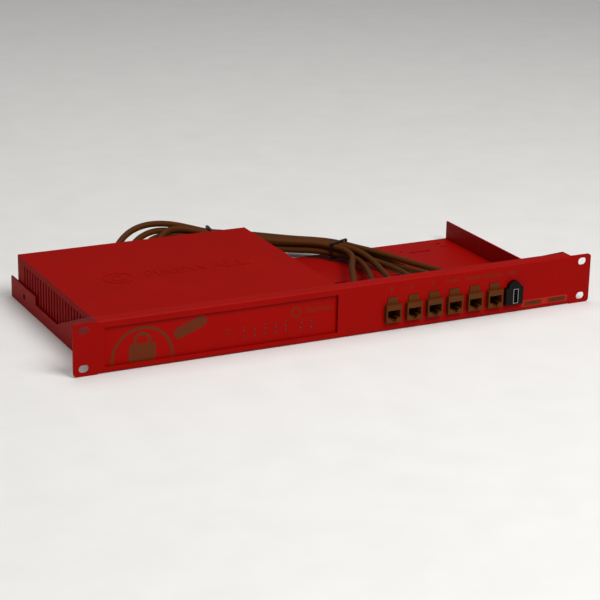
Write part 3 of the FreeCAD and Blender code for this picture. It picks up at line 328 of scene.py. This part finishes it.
def publish(name, mesh, material, body):
    """Make a finished mesh a piece that rides on a body."""
    for polygon in mesh.polygons:
        polygon.use_smooth = True
    mesh.set_sharp_from_angle(angle=SHARP)
    mesh.materials.clear()
    for one in material if isinstance(material, (list, tuple)) else [material]:
        mesh.materials.append(one)
    piece = bpy.data.objects.new(name, mesh)
    bpy.context.scene.collection.objects.link(piece)
    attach(piece, body)
    return piece


def rounded_copy(node_name, name, radius_mm, material):
    """A copy of a CAD node whose sharp edges are rounded."""
    shape = bmesh.new()
    shape.from_mesh(nodes[node_name].data)
    bmesh.ops.remove_doubles(shape, verts=shape.verts, dist=2e-6)
    bmesh.ops.dissolve_limit(shape, angle_limit=math.radians(0.6), verts=shape.verts, edges=shape.edges)
    edges = [e for e in shape.edges if e.is_manifold and e.calc_face_angle(0) > SHARP]
    bmesh.ops.bevel(shape, geom=edges, offset=radius_mm * MM, offset_type="OFFSET", segments=2,
                    profile=0.5, affect="EDGES", clamp_overlap=True, material=-1)
    mesh = as_mesh(name, shape)
    for spare in [a.name for a in mesh.attributes if a.name in ("custom_normal", "sharp_face")]:
        mesh.attributes.remove(mesh.attributes[spare])
    piece = publish(name, mesh, material, nodes[node_name]["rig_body"])
    shading = piece.modifiers.new("even_shading", "WEIGHTED_NORMAL")
    shading.keep_sharp = True
    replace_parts(piece, node_name)
    return piece


ROUNDED = [
    ("rack_tray", "tray_sheet", 0.22, TRAY_COAT, "red_metal"),
    ("left_stop_bracket", "left_bracket_sheet", 0.2, TRAY_COAT, "red_metal"),
    ("right_stop_bracket", "right_bracket_sheet", 0.2, TRAY_COAT, "red_metal"),
    ("top_cover", "case_lid", 0.3, CASE_COAT, "red_metal"),
    ("base_chassis", "case_base", 0.15, CASE_COAT, "red_metal"),
    ("front_bezel", "bezel_moulding", 0.35, BEZEL_ABS, "red_plastic"),
    ("usb_coupler_housing", "usb_coupler_moulding", 0.3, BLACK_ABS, "black_plastic"),
    ("lan_port_block", "lan_port_moulding", 0.15, BLACK_ABS, "port_black"),
    ("console_port", "console_port_moulding", 0.15, BLACK_ABS, "port_black"),
    ("usb_ports", "usb_port_shell", 0.15, TIN, "steel"),
    ("dc_inlet", "dc_inlet_moulding", 0.2, BLACK_ABS, "black_plastic"),
    ("reset_button", "reset_button_cap", 0.2, BLACK_ABS, "black_plastic"),
    ("rubber_feet", "moulded_feet", 0.4, RUBBER, "rubber"),
    ("label_plates", "label_films", 0.08, STRIP_FILM, "label"),
    ("front_plugs", "front_plug_mouldings", 0.2, CLEAR_PC, "clear_plug"),
    ("rear_plugs", "rear_plug_mouldings", 0.2, CLEAR_PC, "clear_plug"),
    ("front_cable_tie", "front_tie_band", 0.25, NYLON, "black_plastic"),
    ("rear_cable_tie", "rear_tie_band", 0.25, NYLON, "black_plastic"),
]
ROUNDED += [(f"coupler_housing_{i}", f"coupler_moulding_{i}", 0.3, COUPLER_ABS, "coupler")
            for i in range(1, 7)]
for node_name, name, radius, material, slot in ROUNDED:
    piece = rounded_copy(node_name, name, radius, material)
    print(name, len(piece.data.polygons), "faces")

# %% [markdown]
# Boots.
# The boot is soft moulded plastic that grips the plug's tail and narrows onto the lead, with grooves
# that let it flex. A ring of points is extruded along the boot and resized at each step: grooves are
# short steps inwards.

# %% Boots on the plugs
BOOT_STEPS = [(0.0, 1.0, 1.0), (0.4, 1.03, 1.03), (3.2, 1.02, 1.02), (3.5, 0.9, 0.93), (4.3, 0.9, 0.93),
              (4.6, 0.96, 1.0), (5.4, 0.93, 1.0), (5.7, 0.82, 0.93), (6.5, 0.81, 0.93), (6.8, 0.86, 1.0),
              (7.6, 0.82, 1.0), (7.9, 0.72, 0.93), (8.7, 0.71, 0.93), (9.0, 0.75, 1.0), (10.6, 0.67, 0.99),
              (11.0, 0.62, 0.95)]
BOOT_HALF_WIDTH, BOOT_HALF_HEIGHT = 5.5, 3.15
FRONT_BOOT_START, REAR_BOOT_START = 38.5, 205.5
SQUARENESS = 3.2


def boot_mesh(shape, centre, start):
    """Add one ribbed boot to a bmesh: x and z of its centre and y of its start, in millimetres."""
    ring = bmesh.ops.create_circle(shape, cap_ends=True, cap_tris=False, segments=32, radius=1.0)["verts"]
    for vert in ring:
        side, rise = vert.co.x, vert.co.y
        soften = (abs(side) ** SQUARENESS + abs(rise) ** SQUARENESS) ** (1 / SQUARENESS)
        vert.co = Vector((side / soften, 0, rise / soften))
    face = ring[0].link_faces[0]
    outline = [(v.co.x, v.co.z) for v in face.verts]
    for step, (along, wide, high) in enumerate(BOOT_STEPS):
        if step:
            face = bmesh.ops.extrude_discrete_faces(shape, faces=[face])["faces"][0]
        for vert, (side, rise) in zip(face.verts, outline):
            vert.co = Vector((centre[0] + side * BOOT_HALF_WIDTH * wide, start + along,
                              centre[1] + rise * BOOT_HALF_HEIGHT * high)) * MM


def boots(name, node_name, places):
    """One end's boots as one piece."""
    shape = bmesh.new()
    for x, start, z in places:
        boot_mesh(shape, (x, z), start)
    bmesh.ops.recalc_face_normals(shape, faces=shape.faces)
    mesh = as_mesh(name, shape)
    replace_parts(publish(name, mesh, BOOT_PVC, MAIN), node_name)
    print(name, len(mesh.polygons), "faces")


FRONT_SEATS = [(route[-1][0], FRONT_BOOT_START, route[-1][2]) for route in LEAD_ROUTES]
REAR_SEATS = [(route[0][0], REAR_BOOT_START, route[0][2]) for route in LEAD_ROUTES]
boots("front_boot_mouldings", "front_boots", FRONT_SEATS)
boots("rear_boot_mouldings", "rear_boots", REAR_SEATS)

# %% [markdown]
# Screws.
# A pan head screw has a flat underside, a rounded rim and a cross recess. The head is a short cylinder
# with its upper edge rounded, and a cross of two flat-sided slots is cut into it.

# %% Screw heads
HEAD_RADIUS, HEAD_HEIGHT, CROSS_LENGTH, CROSS_WIDTH, CROSS_DEPTH = 2.8, 1.8, 3.4, 0.75, 1.1


def cross_head():
    """One pan head along +Z on the origin, in metres, with its cross recess cut."""
    shape = bmesh.new()
    bmesh.ops.create_cone(shape, cap_ends=True, cap_tris=False, segments=40, radius1=HEAD_RADIUS * MM,
                          radius2=HEAD_RADIUS * MM, depth=HEAD_HEIGHT * MM,
                          matrix=Matrix.Translation((0, 0, HEAD_HEIGHT * MM / 2)))
    rim = [e for e in shape.edges if all(v.co.z > HEAD_HEIGHT * MM * 0.9 for v in e.verts)]
    bmesh.ops.bevel(shape, geom=rim, offset=1.2 * MM, offset_type="OFFSET", segments=5, profile=0.5,
                    affect="EDGES", clamp_overlap=True, material=-1)
    cutter = bmesh.new()
    for turn in (0, 90):
        bmesh.ops.create_cube(cutter, size=1, matrix=Matrix.Rotation(math.radians(turn), 4, "Z")
                              @ Matrix.Translation((0, 0, HEAD_HEIGHT * MM))
                              @ Matrix.Diagonal((CROSS_LENGTH * MM, CROSS_WIDTH * MM,
                                                 2 * CROSS_DEPTH * MM, 1)))
    head = bpy.data.objects.new("head", as_mesh("cross_head", shape))
    cross = bpy.data.objects.new("cross", as_mesh("cross", cutter))
    for helper in (head, cross):
        bpy.context.scene.collection.objects.link(helper)
    recess = head.modifiers.new("recess", "BOOLEAN")
    recess.operation = "DIFFERENCE"
    recess.solver = "EXACT"
    recess.use_self = True
    recess.object = cross
    graph = bpy.context.evaluated_depsgraph_get()
    made = bpy.data.meshes.new_from_object(head.evaluated_get(graph))
    for helper in (head, cross):
        bpy.data.objects.remove(helper)
    return made


HEAD = cross_head()


def screws(name, node_name, places, turn, material):
    """Screw heads at places in millimetres, each turned from +Z by a matrix and a little about its axis."""
    shape = bmesh.new()
    for index, place in enumerate(places):
        before = len(shape.verts)
        shape.from_mesh(HEAD)
        shape.verts.ensure_lookup_table()
        spin = Matrix.Rotation(math.radians(23 + 71 * index), 4, "Z")
        bmesh.ops.transform(shape, matrix=Matrix.Translation(Vector(place) * MM) @ turn @ spin,
                            verts=shape.verts[before:])
    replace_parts(publish(name, as_mesh(name, shape), material, MAIN), node_name)
    print(name, len(places), "screws")


UPRIGHT = Matrix.Identity(4)
REARWARD = Matrix.Rotation(math.radians(-90), 4, "X")
screws("bracket_screw_heads", "bracket_screws", [(-211, 203.4, -19.3), (-14, 203.4, -19.3)], UPRIGHT, ZINC)
screws("cover_screw_heads", "cover_screws", [(x, 196.3, 12.9) for x in (-200, -141, -81, -22)], REARWARD,
       BLACK_OXIDE)

# %% [markdown]
# Status lights.
# Each light is a small smoked lens that stands a fraction of a millimetre out of the front, with a domed
# face. A short cylinder with its front edge rounded away makes the dome.

# %% Status light lenses
FIRST_LIGHT, LIGHT_PITCH, LENS_RADIUS = -107.7, 9.35, 0.95
LIGHT_COLUMNS = [FIRST_LIGHT + LIGHT_PITCH * step for step in (0, 1.55, 2.55, 3.55, 4.55, 5.55, 7.06, 8.06)]
LIGHT_ROWS = (-9.8, -4.9)
shape = bmesh.new()
for index, x in enumerate(LIGHT_COLUMNS):
    for z in LIGHT_ROWS[1:] if index == 0 else LIGHT_ROWS:
        made = bmesh.ops.create_cone(shape, cap_ends=True, cap_tris=False, segments=24,
                                     radius1=LENS_RADIUS * MM, radius2=LENS_RADIUS * MM, depth=3.2 * MM,
                                     matrix=Matrix.Translation((x * MM, 2.35 * MM, z * MM))
                                     @ Matrix.Rotation(math.radians(90), 4, "X"))
        front = [e for e in {e for v in made["verts"] for e in v.link_edges}
                 if all(v.co.y < 0.8 * MM for v in e.verts)]
        bmesh.ops.bevel(shape, geom=front, offset=0.5 * MM, offset_type="OFFSET", segments=4, profile=0.5,
                        affect="EDGES", clamp_overlap=True, material=-1)
mesh = as_mesh("status_light_lenses", shape)
lenses = publish("status_light_lenses", mesh, LENS_PC, MAIN)
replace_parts(lenses, "led_lenses")
print("lights", len(mesh.polygons), "faces")

# %% [markdown]
# Wires in the plugs.
# Behind a clear plug's gold blades the lead's eight wires lie side by side, in four colours and their
# striped partners. They show through the plastic, so each plug gets eight thin rods.

# %% Coloured wires
WIRE_COLOURS = ["c9762a", "d8d0c0", "2f6b3a", "3a5a9a", "c8c6c0", "4f8a58", "7a4a2a", "b8a898"]
WIRE_PVC = [surface(f"extruded_pvc_wire_{i + 1}", c, c, 0.4, 0.03, 1.0, 0.005, IOR=1.52)
            for i, c in enumerate(WIRE_COLOURS)]
WIRE_PITCH, WIRE_RADIUS, WIRE_LENGTH, WIRE_FORWARD = 1.02, 0.42, 11, 8


def wires(name, seats):
    """Eight rods in each plug, one behind each blade."""
    shape = bmesh.new()
    for x, start, z in seats:
        for i in range(8):
            centre = Vector((x + (i - 3.5) * WIRE_PITCH, start - WIRE_FORWARD, z)) * MM
            made = bmesh.ops.create_cone(shape, cap_ends=True, cap_tris=False, segments=10,
                                         radius1=WIRE_RADIUS * MM, radius2=WIRE_RADIUS * MM,
                                         depth=WIRE_LENGTH * MM, matrix=Matrix.Translation(centre)
                                         @ Matrix.Rotation(math.radians(90), 4, "X"))
            for face in {f for v in made["verts"] for f in v.link_faces}:
                face.material_index = i
    publish(name, as_mesh(name, shape), WIRE_PVC, MAIN)


wires("front_plug_wires", FRONT_SEATS)
wires("rear_plug_wires", REAR_SEATS)

# %% [markdown]
# Printed marks.
# The panel names each coupler, and the firewall's front has a large round mark, a bar and small captions.
# They are screen printed: flat, with crisp edges, and only as thick as ink. Plain text is turned into a
# mesh 0.08 mm thick. The marks are a padlock in a ring and plain words, as any firewall might carry.

# %% Text and flat marks
INK = 0.04
PANEL_FRONT = -1.5
BEZEL_FRONT = 1.0
LID_TOP = 19.5
FACING = {"front": Matrix.Rotation(math.radians(90), 4, "X"), "up": Matrix.Identity(4)}


def lettering(name, words, height, place, facing, material, thickness=INK):
    """Words as a thin mesh, centred on a place in millimetres; height is that of a capital."""
    font = bpy.data.curves.new(name, "FONT")
    font.body = words
    font.size = height * MM / 0.7
    font.align_x = "CENTER"
    font.align_y = "CENTER"
    font.extrude = thickness * MM
    font.resolution_u = 4
    holder = bpy.data.objects.new(name + "_font", font)
    bpy.context.scene.collection.objects.link(holder)
    graph = bpy.context.evaluated_depsgraph_get()
    mesh = bpy.data.meshes.new_from_object(holder.evaluated_get(graph))
    bpy.data.objects.remove(holder)
    mesh.transform(Matrix.Translation(Vector(place) * MM) @ FACING[facing])
    shape = bmesh.new()
    shape.from_mesh(mesh)
    bmesh.ops.remove_doubles(shape, verts=shape.verts, dist=1e-6)
    shape.to_mesh(mesh)
    shape.free()
    publish(name, mesh, material, MAIN)


def flat_ring(shape, centre, outer, inner, segments=96):
    """A flat ring in the XY plane, in millimetres."""
    ring = bmesh.ops.create_circle(shape, cap_ends=True, segments=segments, radius=outer * MM,
                                   matrix=Matrix.Translation((centre[0] * MM, centre[1] * MM, 0)))["verts"]
    face = ring[0].link_faces[0]
    bmesh.ops.inset_region(shape, faces=[face], thickness=(outer - inner) * MM, use_boundary=True,
                            use_even_offset=True)
    bmesh.ops.delete(shape, geom=[face], context="FACES_ONLY")


def flat_bar(shape, centre, length, height, corner, turn=0):
    """A flat bar with round corners in the XY plane, in millimetres."""
    made = bmesh.ops.create_grid(shape, x_segments=1, y_segments=1, size=0.5)["verts"]
    bmesh.ops.scale(shape, vec=Vector((length * MM, height * MM, 1)), verts=made)
    corners = bmesh.ops.bevel(shape, geom=made, offset=corner * MM, offset_type="OFFSET", segments=8,
                              profile=0.5, affect="VERTICES", clamp_overlap=True, material=-1)
    verts = {v for f in corners["faces"] for v in f.verts} | set(corners["verts"])
    verts |= {v for v in made if v.is_valid}
    bmesh.ops.transform(shape, matrix=Matrix.Translation((centre[0] * MM, centre[1] * MM, 0))
                        @ Matrix.Rotation(math.radians(turn), 4, "Z"), verts=list(verts))


def arch(shape, centre, outer, inner, legs):
    """The shackle of a padlock: half a ring with straight legs, in the XY plane, in millimetres."""
    first = [shape.verts.new(((centre[0] + r) * MM, (centre[1] - legs) * MM, 0)) for r in (inner, outer)]
    edges = [shape.edges.new(first)]
    middle = (centre[0] * MM, centre[1] * MM, 0)
    for rise in (legs, -legs):
        grown = bmesh.ops.extrude_edge_only(shape, edges=edges)["geom"]
        edges = [g for g in grown if isinstance(g, bmesh.types.BMEdge)]
        bmesh.ops.translate(shape, vec=Vector((0, rise * MM, 0)), verts=list(edges[0].verts))
        if rise > 0:
            swept = bmesh.ops.spin(shape, geom=edges, cent=middle, axis=(0, 0, 1), angle=math.pi, steps=24,
                                   use_merge=False)["geom_last"]
            edges = [g for g in swept if isinstance(g, bmesh.types.BMEdge)]


def raise_mark(shape, thickness):
    """Give every flat face a thickness, all of it upwards of the plane."""
    bmesh.ops.remove_doubles(shape, verts=shape.verts, dist=1e-6)
    bmesh.ops.recalc_face_normals(shape, faces=shape.faces)
    flat = list(shape.faces)
    for face in flat:
        if face.normal.z < 0:
            face.normal_flip()
    grown = bmesh.ops.extrude_face_region(shape, geom=flat, use_keep_orig=True)["geom"]
    bmesh.ops.translate(shape, vec=Vector((0, 0, thickness * MM)),
                        verts=[g for g in grown if isinstance(g, bmesh.types.BMVert)])
    bmesh.ops.recalc_face_normals(shape, faces=shape.faces)


def mark(name, shape, place, facing, thickness, material):
    """Thicken a flat drawing, lay it on a surface and make it a piece."""
    raise_mark(shape, thickness)
    bmesh.ops.transform(shape, matrix=Matrix.Translation(Vector(place) * MM) @ FACING[facing],
                        verts=shape.verts)
    mesh = as_mesh(name, shape)
    print(name, len(mesh.polygons), "faces")
    publish(name, mesh, material, MAIN)


# %% Marks on the firewall's front
RING_X, RING_Z = -182.3, -15.0
BEZEL_LOW = -18.1
shape = bmesh.new()
flat_ring(shape, (0, 0), 27.0, 24.6)
below = shape.verts[:] + shape.edges[:] + shape.faces[:]
bmesh.ops.bisect_plane(shape, geom=below, plane_co=(0, (BEZEL_LOW - RING_Z) * MM, 0), plane_no=(0, -1, 0),
                       clear_outer=True)
mark("front_ring_mark", shape, (RING_X, BEZEL_FRONT, RING_Z), "front", INK, PRINT_INK)
shape = bmesh.new()
flat_bar(shape, (0, 5.2), 23, 15, 2.2)
mark("front_padlock_body", shape, (RING_X, BEZEL_FRONT, RING_Z), "front", INK, PRINT_INK)
shape = bmesh.new()
arch(shape, (0, 14.6), 7.6, 4.9, 2.0)
mark("front_padlock_shackle", shape, (RING_X, BEZEL_FRONT, RING_Z), "front", INK, PRINT_INK)
shape = bmesh.new()
flat_bar(shape, (0, 0), 30, 9.4, 4.69, turn=21)
mark("front_bar_mark", shape, (-141, BEZEL_FRONT, 5.6), "front", INK, PRINT_INK)
shape = bmesh.new()
flat_ring(shape, (0, 0), 4.4, 3.3, segments=40)
mark("front_small_ring", shape, (-46.5, BEZEL_FRONT, 5.4), "front", INK, PRINT_INK)
lettering("front_word", "FIREWALL", 4.0, (-24.5, BEZEL_FRONT, 5.4), "front", PRINT_INK)
CAPTIONS = ["ALERT", "0", "1", "2", "3", "4", "STATUS", "POWER"]
for index, (x, words) in enumerate(zip(LIGHT_COLUMNS, CAPTIONS)):
    lettering(f"light_caption_{index}", words, 1.3 if len(words) > 1 else 2.0, (x, BEZEL_FRONT, -1.4),
              "front", PRINT_INK)

# %% Marks on the panel
PORT_WORDS = [(41, "4"), (61, "3"), (81, "2"), (100.5, "1/LAN"), (120.5, "0/WAN"), (140.5, "CONSOLE"),
              (159.5, "USB")]
for x, words in PORT_WORDS:
    size_mm = 4.4 if len(words) == 1 else 3.1
    lettering(f"panel_word_{int(x)}", words, size_mm, (x, PANEL_FRONT, 14.4), "front", PRINT_INK)
LABELS = [(182.85, 18.5, "UNIT 01"), (207.3, 19, "RACK TRAY")]
for index, (x, width, words) in enumerate(LABELS):
    shape = bmesh.new()
    flat_bar(shape, (0, 0), width - 0.6, 4.0, 0.3)
    mark(f"label_patch_{index}", shape, (x, PANEL_FRONT - 0.5, -15.6), "front", INK, LABEL_FILM)
    lettering(f"label_words_{index}", words, 1.7, (x, PANEL_FRONT - 0.54, -15.6), "front", DARK_INK)

# %% [markdown]
# The faint mark on the lid.
# It is pressed or printed in the colour of the case, so only its edges show. The same padlock and ring
# stand 0.25 mm out of the lid, in the case's own paint.

# %% Mark on the lid
LID_MARK = (-163, 101.5)
shape = bmesh.new()
flat_ring(shape, (0, 0), 14.0, 12.2)
mark("lid_ring_mark", shape, (*LID_MARK, LID_TOP), "up", 0.25, CASE_COAT)
shape = bmesh.new()
flat_bar(shape, (0, -2.6), 11.5, 8.5, 1.2)
mark("lid_padlock_body", shape, (*LID_MARK, LID_TOP), "up", 0.25, CASE_COAT)
shape = bmesh.new()
arch(shape, (0, 3.4), 4.0, 2.6, 1.8)
mark("lid_padlock_shackle", shape, (*LID_MARK, LID_TOP), "up", 0.25, CASE_COAT)
lettering("lid_word", "FIREWALL", 15, (-92, LID_MARK[1], LID_TOP), "up", CASE_COAT, 0.25)

# %% [markdown]
# Floor and light.
# The object stands on a plain pale floor under soft light: a large lamp in front and to the right, a weak
# one from the left that leaves the side of the case in half shade, and a wide one overhead.

# %% Floor, lamps and sky
floor_shape = bmesh.new()
bmesh.ops.create_grid(floor_shape, x_segments=1, y_segments=1, size=6)
bmesh.ops.translate(floor_shape, vec=Vector((0, 0, cad_low.z - 0.0002)), verts=floor_shape.verts)
floor_mesh = as_mesh("floor", floor_shape)
floor_mesh.materials.append(surface("matt_floor", "d9d7d4", "e2e0dd", 0.75, 0.05, 4.0, 0.02))
floor = bpy.data.objects.new("floor", floor_mesh)
bpy.context.scene.collection.objects.link(floor)

LAMPS = [("key", (0.45, -1.25, 1.6), 1.1, 40), ("fill", (-1.5, -0.9, 0.9), 1.3, 3),
         ("above", (0, 0.5, 2.1), 1.6, 16)]
for lamp_name, place, lamp_size, power in LAMPS:
    lamp_data = bpy.data.lights.new(lamp_name, "AREA")
    lamp_data.size = lamp_size
    lamp_data.energy = power
    lamp = bpy.data.objects.new(lamp_name, lamp_data)
    lamp.location = place
    lamp.rotation_euler = (Vector((0, 0.1, 0)) - Vector(place)).to_track_quat("-Z", "Y").to_euler()
    bpy.context.scene.collection.objects.link(lamp)
sky = bpy.data.worlds.new("studio")
sky.use_nodes = True
sky.node_tree.nodes["Background"].inputs["Color"].default_value = (0.95, 0.95, 0.96, 1)
sky.node_tree.nodes["Background"].inputs["Strength"].default_value = 0.22
bpy.context.scene.world = sky
bpy.context.scene.view_settings.view_transform = "Standard"
